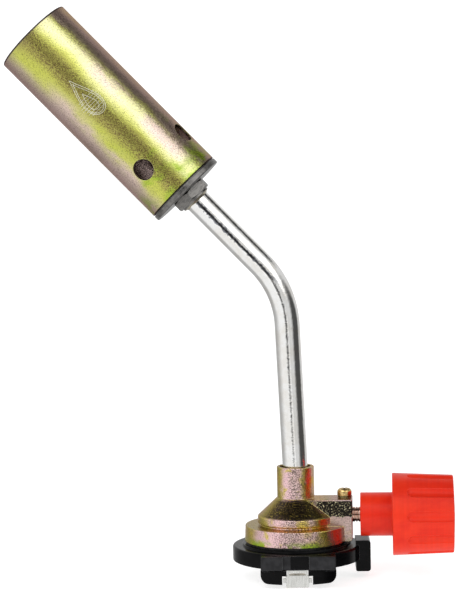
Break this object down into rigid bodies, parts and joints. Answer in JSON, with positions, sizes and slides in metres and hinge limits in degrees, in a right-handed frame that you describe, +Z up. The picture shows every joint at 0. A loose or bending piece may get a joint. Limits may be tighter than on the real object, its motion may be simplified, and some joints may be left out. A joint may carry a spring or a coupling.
{
  "type": "propane torch",
  "caption": "Hand torch head that locks on a nozzle-type gas cartridge: angled burner barrel on a bent gas tube, needle valve with a fluted side knob, and a turning lock ring with claws.",
  "frame": {"origin": "on the base axis, in the plane of the base plate's underside where the cartridge collar seats", "axes": "+Z up along the base axis, +X towards the valve knob, -Y the front with the grip block; the burner leans towards -X"},
  "size_m": [0.1755, 0.0531, 0.228],
  "materials": {
    "chromated_zinc": "yellow-chromate plated zinc die casting, fine cast texture, iridescent",
    "chromated_steel": "yellow-chromate plated drawn steel, iridescent",
    "bright_steel": "polished bright steel tube with fine drawing marks",
    "dark_steel": "dark oxidised turned steel",
    "plated_steel": "nickel-plated spring and sheet steel",
    "brass": "turned brass",
    "black_nylon": "black moulded nylon, satin gloss",
    "red_plastic": "red moulded thermoplastic, soft gloss",
    "black_rubber": "black nitrile rubber",
    "sintered_bronze": "sintered bronze filter"
  },
  "bodies": {
    "torch": {"valve_body": "chromated_zinc", "burner_tube": "chromated_steel", "gas_tube": "bright_steel", "tube_sleeve": "dark_steel", "tube_o_ring": "black_rubber", "burner_end_plate": "dark_steel", "jet_holder": "dark_steel", "jet_lock_nut": "dark_steel", "gas_jet": "brass", "jet_filter": "sintered_bronze", "flame_holder": "plated_steel", "stop_screw": "brass", "stop_screw_washer": "chromated_steel", "base_plate": "plated_steel", "base_plate_screws": "plated_steel", "inlet_connector": "brass", "inlet_seal": "black_rubber", "inlet_filter": "sintered_bronze", "inlet_o_ring": "black_rubber", "friction_washer": "plated_steel"},
    "lock": {"lock_ring": "black_nylon", "claw_plate": "plated_steel"},
    "spindle_carrier": {"spindle_o_ring": "black_rubber"},
    "knob_and_spindle": {"knob": "red_plastic", "spindle": "brass", "knob_washer": "plated_steel", "knob_screw": "plated_steel"}
  },
  "joints": [
    {"name": "lock_turn", "type": "hinge", "parent": "torch", "child": "lock", "pos_m": [0, 0, 0], "axis": [0, 0, 1], "range_deg": [0, 35]},
    {"name": "spindle_travel", "type": "slide", "parent": "torch", "child": "spindle_carrier", "axis": [1, 0, 0], "range_m": [0, 0.0015]},
    {"name": "knob_turn", "type": "hinge", "parent": "spindle_carrier", "child": "knob_and_spindle", "pos_m": [0.03, 0, 0.01655], "axis": [1, 0, 0], "range_deg": [0, 720]}
  ],
  "couplings": [
    {"joint": "knob_turn", "follows": "spindle_travel", "rad_per_m": 8377.6}
  ]
}
